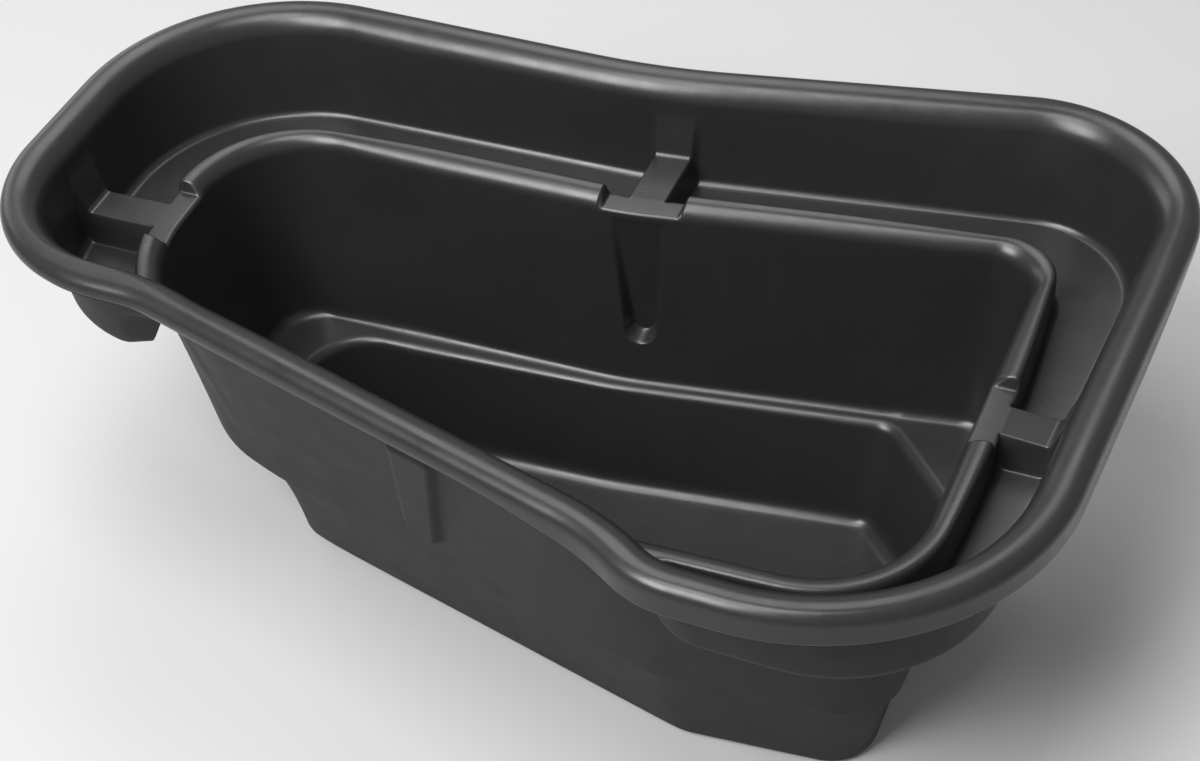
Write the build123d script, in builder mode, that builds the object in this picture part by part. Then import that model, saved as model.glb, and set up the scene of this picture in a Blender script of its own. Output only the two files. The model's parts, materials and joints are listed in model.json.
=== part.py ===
from build123d import *
import math
import os

# Moulded drain tub: one thin-walled plastic moulding, described region by region.
# Frame: +Z up, origin on the floor at the centre of the overall footprint,
# +X along the long side, +Y towards the bowed back edge. Millimetres.

WALL = 4.0                # skin thickness of the moulding

FLOOR_Z = WALL            # top of the sump floor
SHELF_Z = 87.0            # top of the mid shelf
GUTTER_Z = 207.0          # top of the gutter floor
PAD_Z = 232.0             # top of the bridge pads, and centre height of the ridge bead
RIM_Z = 274.0             # centre height of the rolled rim
SKIRT_Z = 264.0           # lower edge of the down-turned rim flange

RIM_R = 11.0              # outer radius of the rolled rim
RIDGE_R = 9.0             # outer radius of the ridge bead
RIDGE_FOOT = 20.0         # distance from tub opening to the outer foot of the ridge
LEDGE_Z = PAD_Z + RIDGE_R # top of the ledges that close the two gutter ends

GUTTER_END_LEFT = -256.0  # where the gutter stops at the left front
GUTTER_END_RIGHT = 142.0  # where the gutter stops at the front lobe
LEDGE_LEFT_X = -205.0     # inner end of the left ledge
LEDGE_RIGHT_X = 75.0      # inner end of the right ledge

FAR = 600.0               # beyond the outline in every direction

# Outlines: corner points in order round the tub, each with its own rounding radius.
# left front, left back, back bend, right back, right front, lobe end, lobe root, front bend
RIM = [(-375, -135, 108), (-376, 191, 142), (1, 192, 500), (391, 272, 102),
       (346, -250, 160), (151, -249, 70), (110, -224, 150), (-231, -135, 120)]
GUTTER = [(-349, -112, 88), (-351, 157, 125), (9, 169, 400), (362, 224, 70),
          (323, -228, 105), (165, -228, 40), (137, -200, 20), (-213, -112, 60)]
# left front, left back, back bend, right back, right front, front bend
OPENING = [(-278, -103, 115), (-280, 91, 75), (9, 96, 300), (296, 142, 30),
           (281, -180, 75), (69, -189, 120)]
SHELF = [(-252, -74, 60), (-252, 70, 32), (9, 79, 300), (287, 124, 25),
         (277, -153, 38), (126, -165, 60)]
# left front, left back, back bend, back cut, right cut, right front, front bend
SUMP_TOP = [(-187, -89, 30), (-226, 53, 45), (9, 69, 300), (210, 99, 20),
            (272, 33, 30), (270, -150, 34), (127, -161, 60)]
SUMP_BASE = [(-184, -67, 25), (-209, 38, 40), (9, 50, 300), (207, 76, 18),
             (262, 21, 30), (261, -133, 32), (141, -144, 40)]

# Bridge pads: a cross bar in the ridge line and a stem over the gutter
BAR_LENGTH = 57.0
BAR_WIDTH = 16.0
STEM_WIDTH = 27.0
STEM_REACH = 120.0        # trimmed back to the basin wall
LEFT_PAD = (-278.0, -14.0, 180.0)
BACK_PAD = (20.0, 97.0, 90.0)
RIGHT_PAD = (290.0, -14.0, 0.0)

# Ribs: pressed-out channels in the tub wall
# half width at the top, radius of the rounded lower end, height of that end, sideways lean
BACK_RIB = (19.0, 9.5, 123.0, 5.0)
FRONT_RIB = (17.0, 13.5, 117.0, -13.0)
BACK_RIB_X = 19.0
BACK_RIB_Y = 97.0         # the face of the back rib is upright
FRONT_RIB_X = -32.0
FRONT_RIB_DEPTH = 7.0     # how far the front rib stands out of the wall

# Ends of the wall sections, measured round the tub in degrees from +X
HUB = (8.0, -14.0)
CUT_RIGHT = 0.0
CUT_BACK = 83.0
CUT_LEFT = 180.0
CUT_FRONT_LEFT = 202.0
CUT_FRONT_RIGHT = 305.0

os.makedirs("parts", exist_ok=True)


def grown(corners, amount):
    """The same outline with every side moved outwards by amount."""
    result = []
    count = len(corners)
    for i, (x, y, r) in enumerate(corners):
        px, py, _ = corners[i - 1]
        nx, ny, _ = corners[(i + 1) % count]
        d0 = math.hypot(x - px, y - py)
        d1 = math.hypot(nx - x, ny - y)
        ax, ay = (x - px) / d0, (y - py) / d0
        bx, by = (nx - x) / d1, (ny - y) / d1
        turn = ax * by - ay * bx
        scale = amount / (1 + ax * bx + ay * by)
        # the outlines run clockwise, so outwards is to the left of travel
        result.append((x - (ay + by) * scale, y + (ax + bx) * scale,
                       r + amount if turn < 0 else r - amount))
    return result


def draw_outline(corners):
    """Closed line of straight sides and corner arcs."""
    arcs = []
    count = len(corners)
    for i, (x, y, r) in enumerate(corners):
        px, py, _ = corners[i - 1]
        nx, ny, _ = corners[(i + 1) % count]
        d0 = math.hypot(x - px, y - py)
        d1 = math.hypot(nx - x, ny - y)
        ax, ay = (x - px) / d0, (y - py) / d0
        bx, by = (nx - x) / d1, (ny - y) / d1
        half = math.acos(max(-1.0, min(1.0, ax * bx + ay * by))) / 2
        reach = r * math.tan(half)
        side = 1 if ax * by - ay * bx > 0 else -1
        cx, cy = x - ax * reach - ay * r * side, y - ay * reach + ax * r * side
        to_corner = math.hypot(x - cx, y - cy)
        mid = (cx + (x - cx) * r / to_corner, cy + (y - cy) * r / to_corner)
        arcs.append(((x - ax * reach, y - ay * reach), mid, (x + bx * reach, y + by * reach)))
    for i, (start, mid, end) in enumerate(arcs):
        ThreePointArc(start, mid, end)
        Line(end, arcs[(i + 1) % count][0])


def plate(corners, z0, z1, mode=Mode.ADD):
    """Flat plate of the outline between two heights."""
    with BuildSketch(Plane.XY.offset(z0)) as face:
        with BuildLine():
            draw_outline(corners)
        make_face()
    extrude(face.sketch, amount=z1 - z0, mode=mode)


def tapered(lower, z0, upper, z1, mode=Mode.ADD):
    """Solid between a lower and an upper outline."""
    with BuildSketch(Plane.XY.offset(z0)) as bottom:
        with BuildLine():
            draw_outline(lower)
        make_face()
    with BuildSketch(Plane.XY.offset(z1)) as top:
        with BuildLine():
            draw_outline(upper)
        make_face()
    loft([bottom.sketch, top.sketch], ruled=True, mode=mode)


def keep_sector(start, end):
    """Keep only what lies between two directions seen from the hub."""
    steps = 4
    points = [HUB]
    for i in range(steps + 1):
        a = math.radians(start + (end - start) * i / steps)
        points.append((HUB[0] + 2 * FAR * math.cos(a), HUB[1] + 2 * FAR * math.sin(a)))
    with BuildSketch(Plane.XY.offset(-FAR)) as sector:
        with BuildLine():
            Polyline(*points, close=True)
        make_face()
    extrude(sector.sketch, amount=2 * FAR, mode=Mode.INTERSECT)


def keep_block(x0, x1, z0=-FAR, z1=FAR):
    """Keep only what lies between two X positions and two heights."""
    with BuildSketch(Plane.XY.offset(z0)) as block:
        with Locations(((x0 + x1) / 2, 0)):
            Rectangle(x1 - x0, 4 * FAR)
    extrude(block.sketch, amount=z1 - z0, mode=Mode.INTERSECT)


def keep_front(top):
    """Keep only the front half of the tub, up to a height."""
    with BuildSketch(Plane.XY) as half:
        with Locations((0, HUB[1] - FAR)):
            Rectangle(4 * FAR, 2 * FAR)
    extrude(half.sketch, amount=top, mode=Mode.INTERSECT)


def pad_outline(pad, inset):
    """Sketch of a bridge pad seen from above, made smaller by inset."""
    x, y, angle = pad
    with Locations(Location((x, y), angle)):
        with Locations((BAR_WIDTH / 2, 0)):
            Rectangle(BAR_WIDTH - 2 * inset, BAR_LENGTH - 2 * inset)
        with Locations((STEM_REACH / 2, 0)):
            Rectangle(STEM_REACH - 2 * inset, STEM_WIDTH - 2 * inset)


def cut_pads():
    """Clear the room taken by the bridge pads."""
    for pad in (LEFT_PAD, BACK_PAD, RIGHT_PAD):
        with BuildSketch(Plane.XY.offset(GUTTER_Z - WALL)) as under:
            pad_outline(pad, 0)
        extrude(under.sketch, amount=PAD_Z - GUTTER_Z + WALL, mode=Mode.SUBTRACT)
        x, y, angle = pad
        with BuildSketch(Plane.XY.offset(PAD_Z)) as over:
            with Locations(Location((x, y), angle)):
                with Locations((BAR_WIDTH / 2, 0)):
                    Rectangle(BAR_WIDTH + 12, BAR_LENGTH)
        extrude(over.sketch, amount=2 * RIDGE_R, mode=Mode.SUBTRACT)


def rib_outline(rib, inset):
    """Rib seen from the front, made smaller by inset: tapering sides and a round lower end."""
    half_top, end_radius, foot_z, lean = rib
    half = half_top - inset
    end = end_radius - inset
    centre_z = foot_z + end_radius
    with BuildLine() as edge:
        Line((-half, PAD_Z), (half, PAD_Z))
        Line((half, PAD_Z), (lean + end, centre_z))
        ThreePointArc((lean + end, centre_z), (lean, centre_z - end), (lean - end, centre_z))
        Line((lean - end, centre_z), (-half, PAD_Z))
    make_face(edge.line.edges())


BACK_RIB_PLANE = Plane(origin=(BACK_RIB_X, 0, 0), x_dir=(1, 0, 0), z_dir=(0, -1, 0))
FRONT_RIB_PLANE = Plane(origin=(FRONT_RIB_X, 0, 0), x_dir=(1, 0, 0), z_dir=(0, -1, 0))


def cut_ribs():
    """Clear the room taken by both ribs out of the tub wall."""
    with BuildSketch(BACK_RIB_PLANE) as back:
        rib_outline(BACK_RIB, -WALL)
    extrude(back.sketch, amount=-FAR, mode=Mode.SUBTRACT)
    with BuildSketch(FRONT_RIB_PLANE) as front:
        rib_outline(FRONT_RIB, 0)
    extrude(front.sketch, amount=FAR, mode=Mode.SUBTRACT)


def save(name, part):
    part.label = name
    export_step(part, "parts/" + name + ".step")


SECTORS = {
    "left_front": (CUT_LEFT, CUT_FRONT_LEFT),
    "left_back": (CUT_BACK, CUT_LEFT),
    "right_back": (CUT_RIGHT, CUT_BACK),
    "right_front": (CUT_FRONT_RIGHT - 360, CUT_RIGHT),
    "front": (CUT_FRONT_LEFT, CUT_FRONT_RIGHT),
}

# ---- sump ----
with BuildPart() as sump_floor:
    plate(grown(SUMP_BASE, WALL), 0, FLOOR_Z)
save("sump_floor", sump_floor.part)

for side, (start, end) in SECTORS.items():
    with BuildPart() as sump_wall:
        tapered(grown(SUMP_BASE, WALL), FLOOR_Z, grown(SUMP_TOP, WALL), SHELF_Z - WALL)
        tapered(SUMP_BASE, FLOOR_Z, SUMP_TOP, SHELF_Z - WALL, Mode.SUBTRACT)
        keep_sector(start, end)
    save("sump_wall_" + side, sump_wall.part)

# ---- mid shelf ----
for side, (start, end) in SECTORS.items():
    with BuildPart() as shelf:
        plate(grown(SHELF, WALL), SHELF_Z - WALL, SHELF_Z)
        plate(SUMP_TOP, SHELF_Z - WALL, SHELF_Z, Mode.SUBTRACT)
        keep_sector(start, end)
    save("mid_shelf_" + side, shelf.part)

# ---- tub wall between shelf and ridge ----
for side, (start, end) in SECTORS.items():
    with BuildPart() as tub_wall:
        tapered(grown(SHELF, WALL), SHELF_Z, grown(OPENING, WALL), PAD_Z)
        tapered(SHELF, SHELF_Z, OPENING, PAD_Z, Mode.SUBTRACT)
        keep_sector(start, end)
        cut_ribs()
        cut_pads()
    save("tub_wall_" + side, tub_wall.part)

# ---- ribs ----
with BuildPart() as rib_back:
    # upright channel face, trimmed to the outside of the tub
    with BuildSketch(BACK_RIB_PLANE) as outside:
        rib_outline(BACK_RIB, -WALL)
    extrude(outside.sketch, amount=-(BACK_RIB_Y + WALL))
    with BuildSketch(BACK_RIB_PLANE) as hollow:
        rib_outline(BACK_RIB, 0)
    extrude(hollow.sketch, amount=-BACK_RIB_Y, mode=Mode.SUBTRACT)
    tapered(SHELF, SHELF_Z, OPENING, PAD_Z, Mode.SUBTRACT)
    cut_pads()
save("rib_back", rib_back.part)

# hollow of the front rib, parallel to the wall it stands out of
with BuildPart() as front_hollow:
    tapered(grown(SHELF, FRONT_RIB_DEPTH), SHELF_Z, grown(OPENING, FRONT_RIB_DEPTH), PAD_Z)
    with BuildSketch(FRONT_RIB_PLANE) as inside:
        rib_outline(FRONT_RIB, WALL)
    extrude(inside.sketch, amount=FAR, mode=Mode.INTERSECT)

with BuildPart() as rib_front:
    tapered(grown(SHELF, FRONT_RIB_DEPTH + WALL), SHELF_Z,
            grown(OPENING, FRONT_RIB_DEPTH + WALL), PAD_Z)
    with BuildSketch(FRONT_RIB_PLANE) as outside:
        rib_outline(FRONT_RIB, 0)
    extrude(outside.sketch, amount=FAR, mode=Mode.INTERSECT)
    add(front_hollow.part, mode=Mode.SUBTRACT)
    tapered(SHELF, SHELF_Z, OPENING, PAD_Z, Mode.SUBTRACT)
save("rib_front", rib_front.part)

# ---- room inside the outer basin wall ----
BASIN_TOP = grown(RIM, -RIM_R)
with BuildPart() as basin_room:
    plate(GUTTER, SHELF_Z, GUTTER_Z)
    tapered(GUTTER, GUTTER_Z, BASIN_TOP, RIM_Z)


def trim_to_basin():
    """Keep what lies inside the outer basin wall."""
    add(basin_room.part, mode=Mode.INTERSECT)


# ---- swept beads ----
def swept_bead(corners, radius, height, outer_leg):
    """Hollow half-round bead along an outline, with its outer leg as (offset, height) points."""
    with BuildLine() as path:
        draw_outline(corners)
    start = path.line.edges()[0] @ 0
    travel = path.line.edges()[0] % 0
    # profile X points outwards, profile Y points up
    across = Plane(origin=(start.X, start.Y, height), x_dir=(-travel.Y, travel.X, 0), z_dir=travel)
    inner = radius - WALL
    with BuildSketch(across) as profile:
        with BuildLine() as edge:
            ThreePointArc((-radius, 0), (0, radius), (radius, 0))
            Polyline((radius, 0), *outer_leg, (inner, 0))
            ThreePointArc((inner, 0), (0, inner), (-inner, 0))
            Line((-inner, 0), (-radius, 0))
        make_face(edge.line.edges())
    sweep(profile.sketch, path=path.line.moved(Location((0, 0, height))))


# ---- ridge bead round the tub opening ----
GUTTER_SIDES = {
    "left_front": (-FAR, GUTTER_END_LEFT),
    "left_back": (-FAR, FAR),
    "right_back": (-FAR, FAR),
    "right_front": (GUTTER_END_RIGHT, FAR),
}
RIDGE_LEG = [(RIDGE_FOOT - RIDGE_R, GUTTER_Z - PAD_Z), (RIDGE_FOOT - RIDGE_R - WALL, GUTTER_Z - PAD_Z)]

for side, (x0, x1) in GUTTER_SIDES.items():
    start, end = SECTORS[side]
    with BuildPart() as ridge:
        swept_bead(grown(OPENING, RIDGE_R), RIDGE_R, PAD_Z, RIDGE_LEG)
        trim_to_basin()
        keep_sector(start, end)
        keep_block(x0, x1)
        cut_pads()
    save("ridge_" + side, ridge.part)

# ---- ledges where the ridge runs into the front wall, each with an end wall ----
# outer X position, inner X position, X range of the end wall that closes the gutter
LEDGES = {
    "left": (GUTTER_END_LEFT, LEDGE_LEFT_X, GUTTER_END_LEFT, GUTTER_END_LEFT + WALL),
    "right": (LEDGE_RIGHT_X, GUTTER_END_RIGHT, GUTTER_END_RIGHT - WALL, GUTTER_END_RIGHT),
}
for side, (x0, x1, wall_x0, wall_x1) in LEDGES.items():
    with BuildPart() as ledge_end:
        plate(RIM, GUTTER_Z - WALL, LEDGE_Z - WALL)
        keep_block(wall_x0, wall_x1)
    with BuildPart() as ledge:
        plate(RIM, LEDGE_Z - WALL, LEDGE_Z)
        keep_block(x0, x1)
        add(ledge_end.part)
        plate(grown(OPENING, WALL), GUTTER_Z - WALL, PAD_Z, Mode.SUBTRACT)
        plate(OPENING, PAD_Z, LEDGE_Z, Mode.SUBTRACT)
        trim_to_basin()
        keep_block(x0, x1)
        keep_front(LEDGE_Z)
    save("ledge_" + side, ledge.part)

# ---- gutter floor ----
for side, (x0, x1) in GUTTER_SIDES.items():
    start, end = SECTORS[side]
    with BuildPart() as gutter_floor:
        plate(grown(GUTTER, WALL), GUTTER_Z - WALL, GUTTER_Z)
        plate(grown(OPENING, RIDGE_FOOT - WALL), GUTTER_Z - WALL, GUTTER_Z, Mode.SUBTRACT)
        keep_sector(start, end)
        keep_block(x0, x1)
        cut_pads()
    save("gutter_floor_" + side, gutter_floor.part)

# ---- basin wall from gutter floor to rim ----
WALL_SIDES = dict(GUTTER_SIDES, front=(-FAR, FAR))
for side, (x0, x1) in WALL_SIDES.items():
    start, end = SECTORS[side]
    with BuildPart() as basin_wall:
        tapered(grown(GUTTER, WALL), GUTTER_Z, grown(BASIN_TOP, WALL), RIM_Z)
        tapered(GUTTER, GUTTER_Z, BASIN_TOP, RIM_Z, Mode.SUBTRACT)
        keep_sector(start, end)
        if side == "front":
            keep_block(x0, x1, PAD_Z, RIM_Z)
    save("basin_wall_" + side, basin_wall.part)

# ---- rolled rim with its down-turned flange ----
RIM_LEG = [(RIM_R + 1.5, SKIRT_Z - RIM_Z), (RIM_R + 1.5 - WALL, SKIRT_Z - RIM_Z)]
for side, (start, end) in SECTORS.items():
    with BuildPart() as rim:
        swept_bead(RIM, RIM_R, RIM_Z, RIM_LEG)
        keep_sector(start, end)
    save("rim_" + side, rim.part)

# ---- bridge pads ----
for name, pad in (("left", LEFT_PAD), ("back", BACK_PAD), ("right", RIGHT_PAD)):
    with BuildPart() as bridge:
        with BuildSketch(Plane.XY.offset(GUTTER_Z - WALL)) as outside:
            pad_outline(pad, 0)
        extrude(outside.sketch, amount=PAD_Z - GUTTER_Z + WALL)
        with BuildSketch(Plane.XY.offset(GUTTER_Z - WALL)) as hollow:
            pad_outline(pad, WALL)
        extrude(hollow.sketch, amount=PAD_Z - GUTTER_Z, mode=Mode.SUBTRACT)
        trim_to_basin()
    save("bridge_" + name, bridge.part)
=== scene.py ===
import json
import math

import bpy
import numpy as np
from mathutils import Matrix, Vector


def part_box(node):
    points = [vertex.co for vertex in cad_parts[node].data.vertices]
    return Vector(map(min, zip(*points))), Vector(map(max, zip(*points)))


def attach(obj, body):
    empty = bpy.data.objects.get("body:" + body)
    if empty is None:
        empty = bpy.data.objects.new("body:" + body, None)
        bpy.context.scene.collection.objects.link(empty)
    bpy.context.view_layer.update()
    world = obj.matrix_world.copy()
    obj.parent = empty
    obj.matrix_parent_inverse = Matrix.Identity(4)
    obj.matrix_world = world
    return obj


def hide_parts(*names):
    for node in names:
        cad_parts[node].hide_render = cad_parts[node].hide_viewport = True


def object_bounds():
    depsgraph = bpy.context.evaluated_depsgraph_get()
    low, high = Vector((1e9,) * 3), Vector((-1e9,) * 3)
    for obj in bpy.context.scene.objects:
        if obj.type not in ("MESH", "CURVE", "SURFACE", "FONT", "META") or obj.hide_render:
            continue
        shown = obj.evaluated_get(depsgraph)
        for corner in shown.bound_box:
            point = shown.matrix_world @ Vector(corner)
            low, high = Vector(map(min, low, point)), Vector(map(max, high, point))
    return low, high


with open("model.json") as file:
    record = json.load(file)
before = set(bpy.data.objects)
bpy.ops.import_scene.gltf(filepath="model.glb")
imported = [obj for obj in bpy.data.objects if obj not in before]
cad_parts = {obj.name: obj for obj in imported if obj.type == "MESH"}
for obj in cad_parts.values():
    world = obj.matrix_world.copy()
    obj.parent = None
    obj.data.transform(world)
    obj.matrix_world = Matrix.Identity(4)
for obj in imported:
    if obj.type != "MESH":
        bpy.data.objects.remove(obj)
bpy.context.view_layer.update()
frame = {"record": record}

# Moulded drain tub, seen as the one moulding it is: the region nodes of the solids are
# replaced by a single closed skin with rounded folds. Millimetres here, metres in Blender.

NODES = [entry["node"] for entry in frame["record"]["subparts"]]
MM = 0.001


def top_of(node):
    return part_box(node)[1][2] / MM


def bottom_of(node):
    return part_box(node)[0][2] / MM


# ---- skin and roundings ----
WALL = 4.0                # thickness of the skin
RIM_R = 11.0              # half width of the rolled rim
RIDGE_R = 9.0             # height of the ridge over the pads
ROLL_OUT = 9.0            # rounding of the rim towards its flange
ROLL_IN = 21.0            # rounding of the rim into the basin wall
ROLL_LEAN = 6.0           # how much further in the rounded rim meets the wall
RIDGE_ROLL = 17.0         # rounding of the ridge into the tub wall
PAD_ROLL = 3.5            # rounding of a pad's bar into the tub wall
RIDGE_CREST = 14.5        # how far the crest of the ridge stands back from the opening
RIDGE_FOOT = 20.0         # distance from the opening to the outer foot of the ridge
GUTTER_FOLD = 7.0         # fold between gutter floor and basin wall
STEM_FOLD = 4.5           # fold between a stem and the basin wall
RIDGE_FOLD = 5.0          # fold between gutter floor and ridge
SHELF_FOLD = 10.0         # folds at both edges of the mid shelf
SUMP_FOLD = 14.0          # fold between sump wall and floor, inside
SUMP_FOLD_OUT = 9.0       # the same fold, outside
TUB_FOLD_OUT = 16.0       # lower corner of the tub, outside
TUB_FOLD_NARROW = 34.0    # the same corner at the narrow end
BASIN_FOLD_OUT = 12.0     # lower corner of the gutter, outside
BASIN_FOLD_NARROW = 20.0  # the same corner at the narrow end
FLARE = 12.4              # how far the flange's lip stands out past the rim's centre line
LIP_OUT = 8.8             # how far out the outline lies that the lip's back edge follows
LIP_WIDTH = 2.0           # flat under the flange's lip
SHORT_LIP = 7.5           # how much shorter the flange is at the front and the narrow end
SHORT_FLARE = 1.6         # how much less it flares out there
SEAM = 0.1                # gap bridged where two runs of rows meet

# ---- heights, read from the solids ----
FLOOR_Z = top_of("sump_floor")
SHELF_Z = top_of("mid_shelf_front")
GUTTER_Z = top_of("gutter_floor_left_back")
PAD_Z = top_of("bridge_left")
LEDGE_Z = top_of("ledge_left")
RIM_TOP = top_of("rim_front")
RIM_Z = RIM_TOP - RIM_R
SKIRT_Z = bottom_of("rim_front")

# ---- plan outlines of the moulding: corner points in order, each with a rounding radius ----
RIM = [(-375, -135, 108), (-376, 191, 142), (1, 192, 500), (391, 272, 102),
       (346, -250, 160), (151, -249, 70), (110, -224, 150), (-231, -135, 120)]
GUTTER = [(-349, -112, 88), (-351, 157, 125), (9, 169, 400), (362, 224, 70),
          (323, -228, 105), (165, -228, 40), (137, -200, 20), (-213, -112, 60)]
OPENING = [(-278, -103, 115), (-280, 91, 75), (9, 96, 300), (296, 142, 30),
           (281, -180, 75), (69, -189, 120)]
SHELF = [(-252, -74, 60), (-252, 70, 32), (9, 79, 300), (287, 124, 25),
         (277, -153, 38), (126, -165, 60)]
SUMP_TOP = [(-187, -89, 30), (-226, 53, 45), (9, 69, 300), (210, 99, 20),
            (272, 33, 30), (270, -150, 34), (127, -161, 60)]
SUMP_BASE = [(-184, -67, 25), (-209, 38, 40), (9, 50, 300), (207, 76, 18),
             (262, 21, 30), (261, -133, 32), (141, -144, 40)]

# ---- bridge pads: a bar in the line of the ridge and a stem over the gutter ----
BAR_HALF = 28.5           # half length of the bar
STEM_HALF = 15.0          # half width of the stem
PAD_AXIS = -14.0          # Y of the left and right pads
BACK_PAD_X = 20.0
STEM_STEP = 5.5           # how much further in the basin wall stands behind a stem
STEM_FALL = 2.0           # how much lower a stem's top is at the basin wall
EDGE_DROP = 2.6           # how far a bar's outer edge rounds down beside the stem

# ---- ribs: x at the top, half width at the top, end radius, foot height, lean of the foot ----
BACK_RIB = (19.0, 19.0, 9.5, 123.0, 5.0)
FRONT_RIB = (-32.0, 17.0, 13.5, 117.0, -13.0)
FRONT_RIB_DEPTH = 7.0     # how far the front rib stands out of the wall
BACK_RIB_EDGE = 2.6       # half width of the soft edge of each rib
FRONT_RIB_EDGE = 4.2

# where the gutter stops on the front side
GUTTER_END_LEFT = -257.0
GUTTER_END_RIGHT = 146.0

# ---- columns: section planes round the tub, each from an inner to an outer plan point ----
# inner point, outer point, number of steps to the next entry
PAD = 38                  # half width of the stretch of parallel columns at a pad
KEYS = [
    ((215, PAD_AXIS - PAD), (500, PAD_AXIS - PAD), 110),
    ((215, PAD_AXIS + PAD), (500, PAD_AXIS + PAD), 70),
    ((200, 30), (480, 330), 60),
    ((150, 34), (180, 430), 70),
    ((BACK_PAD_X + PAD, 15), (BACK_PAD_X + PAD, 430), 128),
    ((BACK_PAD_X - PAD, 15), (BACK_PAD_X - PAD, 430), 60),
    ((-120, 20), (-210, 430), 70),
    ((-140, 22), (-480, 290), 60),
    ((-150, PAD_AXIS + PAD), (-500, PAD_AXIS + PAD), 110),
    ((-150, PAD_AXIS - PAD), (-500, PAD_AXIS - PAD), 90),
    ((-128, -56), (-345, -350), 80),
    ((-62, -66), (-66, -400), 80),
    ((-8, -72), (-8, -400), 60),
    ((110, -88), (92, -400), 90),
    ((190, -92), (215, -400), 60),
    ((212, -84), (470, -380), 60),
]


def smooth(a, b, x):
    t = np.clip((np.asarray(x, float) - a) / (b - a), 0, 1)
    return t * t * (3 - 2 * t)


def mix(a, b, m):
    return a + (b - a) * m


def make_columns():
    inner, outer = [], []
    for i, (p, q, steps) in enumerate(KEYS):
        p2, q2, _ = KEYS[(i + 1) % len(KEYS)]
        for k in range(steps):
            f = k / steps
            inner.append((mix(p[0], p2[0], f), mix(p[1], p2[1], f)))
            outer.append((mix(q[0], q2[0], f), mix(q[1], q2[1], f)))
    inner, outer = np.array(inner), np.array(outer)
    heading = outer - inner
    return inner, heading / np.linalg.norm(heading, axis=1)[:, None]


INNER, HEADING = make_columns()
COUNT = len(INNER)


def grown(corners, amount):
    """The same outline with every side moved outwards."""
    result = []
    for i, (x, y, r) in enumerate(corners):
        px, py, _ = corners[i - 1]
        nx, ny, _ = corners[(i + 1) % len(corners)]
        d0, d1 = math.hypot(x - px, y - py), math.hypot(nx - x, ny - y)
        ax, ay, bx, by = (x - px) / d0, (y - py) / d0, (nx - x) / d1, (ny - y) / d1
        turn = ax * by - ay * bx
        scale = amount / (1 + ax * bx + ay * by)
        result.append((x - (ay + by) * scale, y + (ax + bx) * scale,
                       max(r + amount if turn < 0 else r - amount, 0.5)))
    return result


def traced(corners):
    """Closed polyline through an outline's corner arcs."""
    line = []
    for i, (x, y, r) in enumerate(corners):
        px, py, _ = corners[i - 1]
        nx, ny, _ = corners[(i + 1) % len(corners)]
        d0, d1 = math.hypot(x - px, y - py), math.hypot(nx - x, ny - y)
        ax, ay, bx, by = (x - px) / d0, (y - py) / d0, (nx - x) / d1, (ny - y) / d1
        half = math.acos(max(-1.0, min(1.0, ax * bx + ay * by))) / 2
        side = 1 if ax * by - ay * bx > 0 else -1
        reach = r * math.tan(half)
        sx, sy = x - ax * reach, y - ay * reach
        cx, cy = sx - ay * r * side, sy + ax * r * side
        steps = max(8, int(2 * half * r / 1.5))
        start = math.atan2(sy - cy, sx - cx)
        for k in range(steps + 1):
            a = start + side * 2 * half * k / steps
            line.append((cx + r * math.cos(a), cy + r * math.sin(a)))
    return np.array(line)


CAST = {}


def reach_to(corners, amount=0.0):
    """Distance along every column to the outline moved outwards by amount."""
    key = (tuple(corners), amount)
    if key not in CAST:
        a = traced(grown(corners, amount))
        e = np.roll(a, -1, axis=0) - a
        wx, wy = a[None, :, 0] - INNER[:, None, 0], a[None, :, 1] - INNER[:, None, 1]
        det = HEADING[:, None, 0] * e[None, :, 1] - HEADING[:, None, 1] * e[None, :, 0]
        det = np.where(np.abs(det) < 1e-9, 1e-9, det)
        s = (wx * e[None, :, 1] - wy * e[None, :, 0]) / det
        t = (wx * HEADING[:, None, 1] - wy * HEADING[:, None, 0]) / det
        s = np.where((t >= -1e-6) & (t <= 1 + 1e-6) & (s > 0), s, -1)
        CAST[key] = s.max(axis=1)
    return CAST[key]


def at(s):
    """Plan points at a distance along the columns."""
    return INNER + HEADING * np.asarray(s)[:, None]


# ---- where the pads and the gutter-free front stretch are, per column ----
index = np.arange(COUNT)
starts = np.cumsum([0] + [k[2] for k in KEYS])


def across_pad(key, centre, axis):
    """Sideways distance from a pad's centre line, only for the columns parallel to it."""
    inside = (index >= starts[key]) & (index <= starts[key + 1])
    return np.where(inside, np.abs(INNER[:, axis] - centre), 999.0)


across = np.minimum.reduce([across_pad(0, PAD_AXIS, 1), across_pad(4, BACK_PAD_X, 0),
                            across_pad(8, PAD_AXIS, 1)])
bar = 1 - smooth(BAR_HALF - 2.2, BAR_HALF + 2.4, across)
stem = 1 - smooth(STEM_HALF - 2.6, STEM_HALF + 3.6, across)

gutter_mid = at((reach_to(GUTTER) + reach_to(OPENING, 20)) / 2)
front = np.where(gutter_mid[:, 1] < -60,
                 smooth(GUTTER_END_LEFT - 9, GUTTER_END_LEFT + 7, gutter_mid[:, 0])
                 * (1 - smooth(GUTTER_END_RIGHT - 12, GUTTER_END_RIGHT + 6, gutter_mid[:, 0])), 0)

# ---- shared reaches ----
opening = reach_to(OPENING)
floor_z = mix(mix(GUTTER_Z, PAD_Z, stem), LEDGE_Z, front)


def basin_reach(z, offset):
    """Reach of the basin wall at a height."""
    low, high = reach_to(GUTTER, offset), reach_to(RIM, offset - RIM_R - ROLL_LEAN)
    return mix(low, high, (z - GUTTER_Z) / (RIM_Z - GUTTER_Z))


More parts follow.
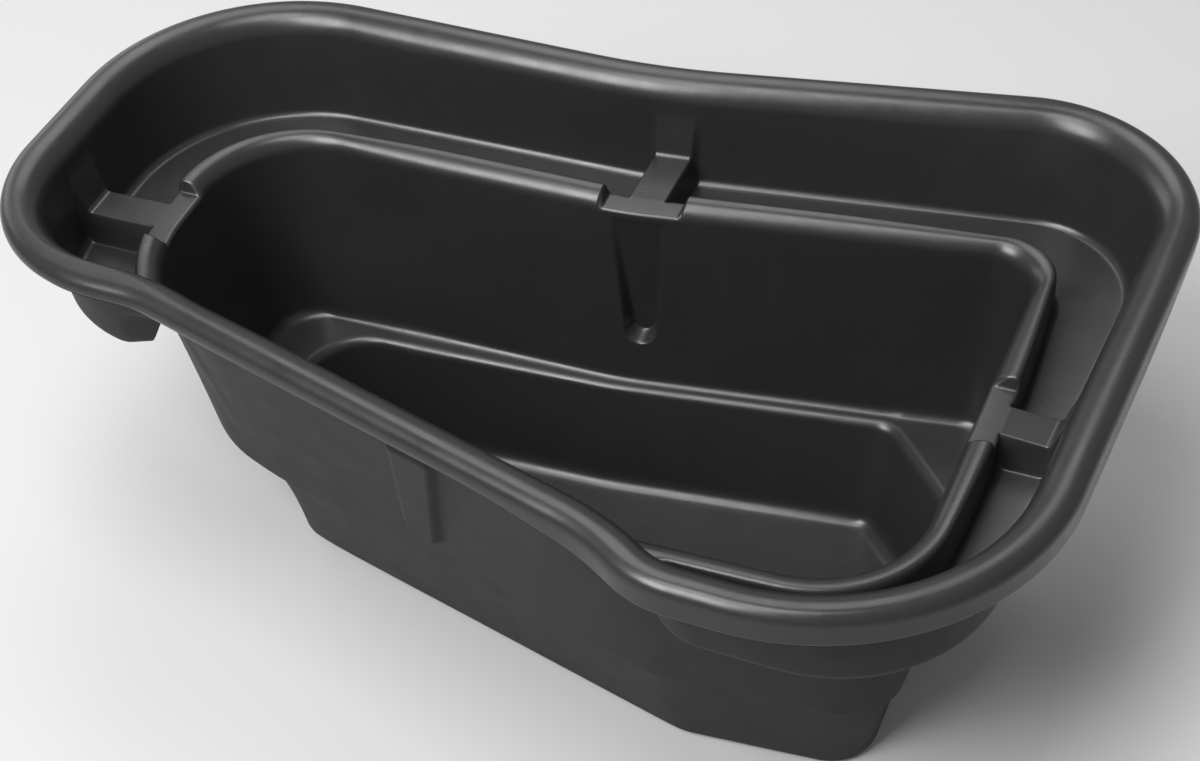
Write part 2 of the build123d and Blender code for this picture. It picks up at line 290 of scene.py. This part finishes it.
basin_foot = np.maximum(basin_reach(floor_z, 0), opening + 2) - STEM_STEP * stem
bead = mix(RIDGE_R, np.clip(basin_foot - opening - 1, 1.0, RIDGE_R), front)
bead_mid = mix(PAD_Z, LEDGE_Z - bead, front)
shelf = np.maximum(reach_to(SHELF), reach_to(SUMP_TOP) + 1)
sump_top = reach_to(SUMP_TOP)
sump_base = reach_to(SUMP_BASE)


class Section:
    """One profile line per column, as rows of (reach, height) pairs."""

    def __init__(self):
        self.points = []

    def to(self, reach, z, radius=0.0, steps=0):
        ones = np.ones(COUNT)
        self.points.append((np.stack([reach * ones, z * ones], axis=1), radius * ones, steps))

    def rows(self):
        """The profile with its corners rounded: a list of (COUNT, 2) arrays."""
        rows = []
        last = len(self.points) - 1
        for i, (p, radius, steps) in enumerate(self.points):
            if steps == 0 or i in (0, last):
                rows.append(p)
                continue
            back, ahead = self.points[i - 1][0] - p, self.points[i + 1][0] - p
            lb = np.maximum(np.linalg.norm(back, axis=1), 1e-6)
            la = np.maximum(np.linalg.norm(ahead, axis=1), 1e-6)
            u, v = back / lb[:, None], ahead / la[:, None]
            inner = np.arccos(np.clip((u * v).sum(axis=1), -1, 1)) / 2
            # two rounded corners share a side, a plain point leaves all of it
            room_b = (0.48 if self.points[i - 1][2] else 0.95) * lb
            room_a = (0.48 if self.points[i + 1][2] else 0.95) * la
            cut = radius / np.maximum(np.tan(inner), 1e-3)
            cut = np.minimum(cut, np.minimum(room_b, room_a))
            a, b, w = p + u * cut[:, None], p + v * cut[:, None], np.sin(inner)[:, None]
            for k in range(steps + 1):
                t = k / steps
                rows.append(((1 - t) ** 2 * a + 2 * w * t * (1 - t) * p + t * t * b)
                            / ((1 - t) ** 2 + 2 * w * t * (1 - t) + t * t))
        return rows


def rib_depth(rib, x, z, soft):
    """1 inside a rib seen from the front, 0 outside, soft at its edge."""
    x0, half_top, end, foot, lean = rib
    mid_z = foot + end
    f = np.clip((z - mid_z) / (PAD_Z - mid_z), 0, 1)
    centre, half = x0 + lean * (1 - f), mix(end, half_top, f)
    side = np.abs(x - centre) - half
    round_end = np.hypot(x - centre, z - mid_z) - end
    return 1 - smooth(-soft, soft, np.where(z > mid_z, side, round_end))


in_back = (INNER[:, 1] > 0) & (np.abs(INNER[:, 0] - BACK_PAD_X) < 60)
in_front = (index >= starts[10]) & (index <= starts[13])

# heights of the tub wall's rows as fractions of the way down, close together round the rib feet
DOWN = np.concatenate([np.linspace(0.02, 0.5, 22), np.linspace(0.507, 0.84, 56),
                       np.linspace(0.86, 0.98, 6)])


def tub_rows(top, bottom, extra):
    """Rows of the tub wall between two rounded ends, with both ribs pressed outwards."""
    rows = []
    for f in DOWN:
        row = mix(top, bottom, f)
        x = at(row[:, 0])[:, 0]
        z = row[:, 1]
        push = (opening + extra - row[:, 0]) * rib_depth(BACK_RIB, x, z, BACK_RIB_EDGE) * in_back
        push = push + FRONT_RIB_DEPTH * rib_depth(FRONT_RIB, x, z, FRONT_RIB_EDGE) * in_front
        rows.append(np.stack([row[:, 0] + push, z], axis=1))
    return rows


def with_wall(section, first, extra):
    """Rows of a section, with the tub wall's own rows put in after the row numbered first."""
    rows = section.rows()
    return rows[:first] + tub_rows(rows[first - 1], rows[first], extra) + rows[first:]


# ---- inside face: flange lip, rim, basin wall, gutter, ridge or pad ----
# the flange is shorter round the narrow end, and flares out less there
rim_x = at(reach_to(RIM))[:, 0]
short = np.where(at(reach_to(RIM))[:, 1] < 0, 1 - smooth(20, 130, rim_x),
                 1 - smooth(-330, -120, rim_x))
skirt = SKIRT_Z + SHORT_LIP * short
flare = FLARE - SHORT_FLARE * short
upper = Section()
upper.to(reach_to(RIM, LIP_OUT) + flare - LIP_OUT - LIP_WIDTH, skirt)
upper.to(reach_to(RIM) + flare, skirt, 1.6, 5)
for k in range(13):
    a = math.radians(-8 + 98 * k / 12)
    upper.to(reach_to(RIM, round(RIM_R - ROLL_OUT * (1 - math.cos(a)), 4)),
             RIM_TOP - ROLL_OUT * (1 - math.sin(a)))
upper.to(np.maximum(basin_reach(RIM_TOP, 0), opening + 2), RIM_TOP, ROLL_IN, 18)
# behind a stem the wall stands a little further in, fading out towards the rim
for k in range(8):
    z = mix(RIM_TOP - 24, floor_z, k / 10)
    upper.to(np.maximum(basin_reach(z, 0), opening + 2) - STEM_STEP * stem * k / 10, z)
upper.to(basin_foot, floor_z - STEM_FALL * stem, mix(GUTTER_FOLD, STEM_FOLD, stem), 9)
foot = mix(mix(opening + RIDGE_FOOT, opening + RIDGE_FOOT - 2, stem), basin_foot - 0.3, front)
foot = np.minimum(foot, basin_foot - 0.3)
upper.to(foot, floor_z, RIDGE_FOLD, 6)
edge_drop = EDGE_DROP * bar
crest = mix(RIDGE_CREST, np.clip(basin_foot - opening - 1.5, 1.0, RIDGE_CREST), front)
outer_roll = np.maximum(foot - opening - crest - mix(1.5, 0.4, front), 0.2)
for k in range(9):
    a = math.pi / 2 * k / 8
    reach = opening + crest + outer_roll * math.cos(a)
    # the ridge's outer leg is upright up to a third of its height over the pads
    ridge = mix(PAD_Z + RIDGE_R / 3 * (1 + 2 * math.sin(a)), LEDGE_Z, front)
    pad = PAD_Z - edge_drop * (1 - stem) * (1 - math.sin(a)) ** 2
    upper.to(np.minimum(reach, foot - 0.1), mix(ridge, pad, bar))
top_z = mix(LEDGE_Z, PAD_Z, bar)
wall_fall = (PAD_Z - SHELF_Z) / np.maximum(opening - shelf, 1)
upper.to(opening + (top_z - PAD_Z) / wall_fall, top_z, mix(RIDGE_ROLL, PAD_ROLL, bar), 14)
# where the rounded edge hands over to the tub wall, as a fraction of the way down
below = mix(0.13, 0.03, bar)
upper.to(mix(opening, shelf, below), mix(PAD_Z, SHELF_Z, below))

lower = Section()
lower.to(mix(opening, shelf, below + 0.01), mix(PAD_Z, SHELF_Z, below + 0.01))
lower.to(shelf, SHELF_Z, SHELF_FOLD, 8)
lower.to(sump_top, SHELF_Z, SHELF_FOLD, 9)
lower.to(sump_base, FLOOR_Z, SUMP_FOLD, 9)
lower.to(0.55 * sump_base, FLOOR_Z)
lower.to(0.2 * sump_base, FLOOR_Z)
inside = upper.rows() + with_wall(lower, 1, 0)

# ---- outside face, from the middle of the underside back up to the flange lip ----
# the lower corner of the tub is rounded more at its narrow end
narrow = 1 - smooth(-230, -60, at(opening)[:, 0])
gutter_under = np.minimum(floor_z - WALL, LEDGE_Z - WALL)
basin_out = np.maximum(basin_reach(gutter_under, WALL), opening + WALL + 1.5)
shell = Section()
under_bead = bead_mid - edge_drop - 1.4
shell.to(opening + WALL, under_bead - SEAM)
shell.to(shelf + WALL, SHELF_Z - WALL, mix(TUB_FOLD_OUT, TUB_FOLD_NARROW, narrow), 10)
shell.to(sump_top + WALL, SHELF_Z - WALL, 4.0, 5)
shell.to(sump_base + WALL, 0.0, SUMP_FOLD_OUT, 8)
shell.to(0.55 * sump_base, 0.0)
shell.to(0.2 * sump_base, 0.0)
outside = with_wall(shell, 1, WALL)[::-1]
hollow = Section()
hollow.to(opening + WALL, under_bead)
for k in range(9):
    a = math.pi * (1 - k / 8)
    open_z = mix(bead_mid + (bead - WALL) * math.sin(a), PAD_Z - WALL, bar)
    reach = opening + WALL + mix(10.0, 1.0, front) * (1 + math.cos(a)) / 2
    hollow.to(reach, mix(open_z, gutter_under - 0.5, front))
hollow.to(mix(opening + RIDGE_FOOT - WALL, opening + WALL + 1.1, front), gutter_under, 2.0, 3)
under_stem = gutter_under - STEM_FALL * stem
basin_fold = mix(BASIN_FOLD_NARROW, BASIN_FOLD_OUT, smooth(-330, -150, rim_x))
hollow.to(basin_out, under_stem, basin_fold, 9)
for k in range(1, 9):
    z = mix(under_stem, RIM_Z, k / 9)
    hollow.to(np.maximum(basin_reach(z, WALL), opening + WALL + 1.5), z)
for k in range(13):
    a = math.radians(180 - 180 * k / 12)
    r = RIM_R - WALL
    hollow.to(reach_to(RIM, round(r * math.cos(a), 4)), RIM_Z + r * math.sin(a))
hollow.to(reach_to(RIM) + flare - LIP_WIDTH - 1.8, skirt, 1.4, 4)
hollow.to(reach_to(RIM) + flare - LIP_WIDTH, skirt)
outside += hollow.rows()


def build_skin(name, rows_in, rows_out):
    """Closed mesh: inside rows end in a fan on the floor, outside rows start in one below it."""
    rows = rows_in + rows_out
    verts = np.concatenate([np.column_stack([at(r[:, 0]), r[:, 1]]) for r in rows]) * MM
    middle = INNER.mean(axis=0) * MM
    verts = np.vstack([verts, [middle[0], middle[1], FLOOR_Z * MM], [middle[0], middle[1], 0.0]])
    j = np.arange(COUNT)
    nxt = (j + 1) % COUNT
    quads = []
    for i in list(range(len(rows_in) - 1)) + list(range(len(rows_in), len(rows) - 1)) + [-1]:
        a, b = (i * COUNT, (i + 1) * COUNT) if i >= 0 else ((len(rows) - 1) * COUNT, 0)
        quads.append(np.column_stack([a + j, a + nxt, b + nxt, b + j]))
    quads = np.concatenate(quads)
    last_in, first_out = (len(rows_in) - 1) * COUNT, len(rows_in) * COUNT
    top, under = len(verts) - 2, len(verts) - 1
    fans = np.concatenate([np.column_stack([last_in + j, last_in + nxt, np.full(COUNT, top)]),
                           np.column_stack([first_out + nxt, first_out + j, np.full(COUNT, under)])])
    mesh = bpy.data.meshes.new(name)
    mesh.from_pydata(verts.tolist(), [], quads.tolist() + fans.tolist())
    mesh.update()
    obj = bpy.data.objects.new(name, mesh)
    bpy.context.collection.objects.link(obj)
    for poly in mesh.polygons:
        poly.use_smooth = True
    outer = np.zeros(len(verts))
    outer[first_out:under - 1] = 1
    outer[under] = 1
    mesh.attributes.new("outer_face", "FLOAT", "POINT").data.foreach_set("value", outer)
    if mesh.polygons[len(quads)].normal.z < 0:
        mesh.flip_normals()
    return obj


tub = build_skin("tub_skin", inside, outside)
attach(tub, "root")
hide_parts(*NODES)


# ---- material: satin black moulded plastic ----
DARK_TONE = (0.0145, 0.0141, 0.0138, 1)
LIGHT_TONE = (0.0205, 0.020, 0.0195, 1)
# painted shade: the outer face's base colour is multiplied by this factor
OUTER_PAINTED_SHADE = (0.5, 0.5, 0.5, 1)
SMOOTHEST, ROUGHEST = 0.25, 0.35
OUTER_ROUGHER = 0.32      # how much rougher the outer face is
SPECULAR_LEVEL = 0.42


def plastic(name):
    mat = bpy.data.materials.new(name)
    mat.use_nodes = True
    nodes, links = mat.node_tree.nodes, mat.node_tree.links
    bsdf = nodes["Principled BSDF"]
    coords = nodes.new("ShaderNodeTexCoord")

    def noise(scale, detail, rough, stretch=None):
        node = nodes.new("ShaderNodeTexNoise")
        node.inputs["Scale"].default_value = scale
        node.inputs["Detail"].default_value = detail
        node.inputs["Roughness"].default_value = rough
        source = coords.outputs["Object"]
        if stretch:
            mapping = nodes.new("ShaderNodeMapping")
            mapping.inputs["Scale"].default_value = stretch
            links.new(source, mapping.inputs["Vector"])
            source = mapping.outputs["Vector"]
        links.new(source, node.inputs["Vector"])
        return node.outputs["Fac"]

    def spread(value, low, high, a, b):
        node = nodes.new("ShaderNodeMapRange")
        node.inputs["From Min"].default_value = low
        node.inputs["From Max"].default_value = high
        node.inputs["To Min"].default_value = a
        node.inputs["To Max"].default_value = b
        links.new(value, node.inputs["Value"])
        return node.outputs["Result"]

    def bump(height, distance, strength, after=None):
        node = nodes.new("ShaderNodeBump")
        node.inputs["Distance"].default_value = distance
        node.inputs["Strength"].default_value = strength
        links.new(height, node.inputs["Height"])
        if after:
            links.new(after, node.inputs["Normal"])
        return node.outputs["Normal"]

    tone = nodes.new("ShaderNodeValToRGB")
    tone.color_ramp.elements[0].color = DARK_TONE
    tone.color_ramp.elements[1].color = LIGHT_TONE
    links.new(noise(scale=9.0, detail=5.0, rough=0.6), tone.inputs["Fac"])
    # painted shade for the outer face, multiplied into the base colour
    outer_shade_mix = nodes.new("ShaderNodeMix")
    outer_shade_mix.data_type = "RGBA"
    outer_shade_mix.blend_type = "MULTIPLY"
    # a mix node's colour sockets: 6 and 7 go in, 2 comes out
    outer_shade_mix.inputs[7].default_value = OUTER_PAINTED_SHADE
    links.new(tone.outputs["Color"], outer_shade_mix.inputs[6])
    links.new(outer_shade_mix.outputs[2], bsdf.inputs["Base Color"])
    # the outer face is duller (rougher) than the polished inside, and darker by painted shade: its
    # base colour is halved
    outer = nodes.new("ShaderNodeAttribute")
    outer.attribute_name = "outer_face"
    rough = nodes.new("ShaderNodeMath")
    rough.operation = "MULTIPLY_ADD"
    rough.inputs[1].default_value = OUTER_ROUGHER
    links.new(outer.outputs["Fac"], rough.inputs[0])
    links.new(outer.outputs["Fac"], outer_shade_mix.inputs[0])
    gloss = noise(scale=38.0, detail=6.0, rough=0.65)
    links.new(spread(gloss, 0.3, 0.7, SMOOTHEST, ROUGHEST), rough.inputs[2])
    links.new(rough.outputs["Value"], bsdf.inputs["Roughness"])
    # broad waviness, upright flow marks and a fine grain, each laid over the one before
    swell = bump(noise(scale=16.0, detail=2.0, rough=0.5), distance=0.0006, strength=0.35)
    marks = noise(scale=70.0, detail=4.0, rough=0.6, stretch=(1.0, 1.0, 0.35))
    flow = bump(marks, distance=0.00025, strength=0.3, after=swell)
    fine = noise(scale=1500.0, detail=2.0, rough=0.5)
    grain = bump(fine, distance=0.00004, strength=0.35, after=flow)
    links.new(grain, bsdf.inputs["Normal"])
    bsdf.inputs["Specular IOR Level"].default_value = SPECULAR_LEVEL
    return mat


tub.data.materials.append(plastic("satin_black_plastic"))

# ---- floor, lights, camera ----
lo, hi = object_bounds()
centre = (Vector(lo) + Vector(hi)) / 2


def floor_material():
    mat = bpy.data.materials.new("pale_floor")
    mat.use_nodes = True
    bsdf = mat.node_tree.nodes["Principled BSDF"]
    grain = mat.node_tree.nodes.new("ShaderNodeTexNoise")
    grain.inputs["Scale"].default_value = 6.0
    ramp = mat.node_tree.nodes.new("ShaderNodeValToRGB")
    ramp.color_ramp.elements[0].color = (0.43, 0.43, 0.43, 1)
    ramp.color_ramp.elements[1].color = (0.47, 0.47, 0.47, 1)
    mat.node_tree.links.new(grain.outputs["Fac"], ramp.inputs["Fac"])
    mat.node_tree.links.new(ramp.outputs["Color"], bsdf.inputs["Base Color"])
    bsdf.inputs["Roughness"].default_value = 0.9
    return mat


bpy.ops.mesh.primitive_plane_add(size=30, location=(centre.x, centre.y, 0))
ground = bpy.context.object
ground.name = "ground"
ground.data.materials.append(floor_material())


def area_light(name, azimuth, elevation, distance, width, height, power):
    """Rectangular light on a sphere round the tub; azimuth 0 stands on the -Y side."""
    a, e = math.radians(azimuth), math.radians(elevation)
    away = Vector((math.sin(a) * math.cos(e), -math.cos(a) * math.cos(e), math.sin(e)))
    data = bpy.data.lights.new(name, "AREA")
    data.shape = "RECTANGLE"
    data.size, data.size_y, data.energy = width, height, power
    lamp = bpy.data.objects.new(name, data)
    lamp.location = centre + away * distance
    lamp.rotation_euler = away.to_track_quat("Z", "Y").to_euler()
    bpy.context.collection.objects.link(lamp)


# name, azimuth, elevation, distance, width, height, power
LIGHTS = [
    ("key", -24, 50, 3.2, 1.25, 1.8, 126),
    ("overhead", -24, 80, 3.0, 1.23, 1.1, 40),
    ("back", 204, 55, 3.2, 1.6, 1.7, 34),
    ("left", 240, 20, 3.4, 2.2, 1.6, 20),
]
for light in LIGHTS:
    area_light(*light)

world = bpy.data.worlds.new("studio")
world.use_nodes = True
world.node_tree.nodes["Background"].inputs["Color"].default_value = (1, 1, 1, 1)
world.node_tree.nodes["Background"].inputs["Strength"].default_value = 0.35
bpy.context.scene.world = world

# ---- camera: above the front right, looking down, turned a little about its own axis ----
YAW, PITCH, ROLL = math.radians(22.58), math.radians(44.0), math.radians(2.0)
CAMERA_AT = (0.4291, -0.9661, 1.1729)
LENS = 63.46
SENSOR = 36.0
ahead = Vector((-math.sin(YAW) * math.cos(PITCH), math.cos(YAW) * math.cos(PITCH), -math.sin(PITCH)))
right0 = Vector((math.cos(YAW), math.sin(YAW), 0))
down0 = ahead.cross(right0)
right = right0 * math.cos(ROLL) + down0 * math.sin(ROLL)
down = down0 * math.cos(ROLL) - right0 * math.sin(ROLL)
cam_data = bpy.data.cameras.new("camera")
cam_data.sensor_width = SENSOR
cam_data.lens = LENS
cam = bpy.data.objects.new("camera", cam_data)
turn = Matrix((right, -down, -ahead)).transposed()
cam.matrix_world = Matrix.Translation(CAMERA_AT) @ turn.to_4x4()
bpy.context.collection.objects.link(cam)
bpy.context.scene.camera = cam
bpy.context.scene.view_settings.view_transform = "Standard"
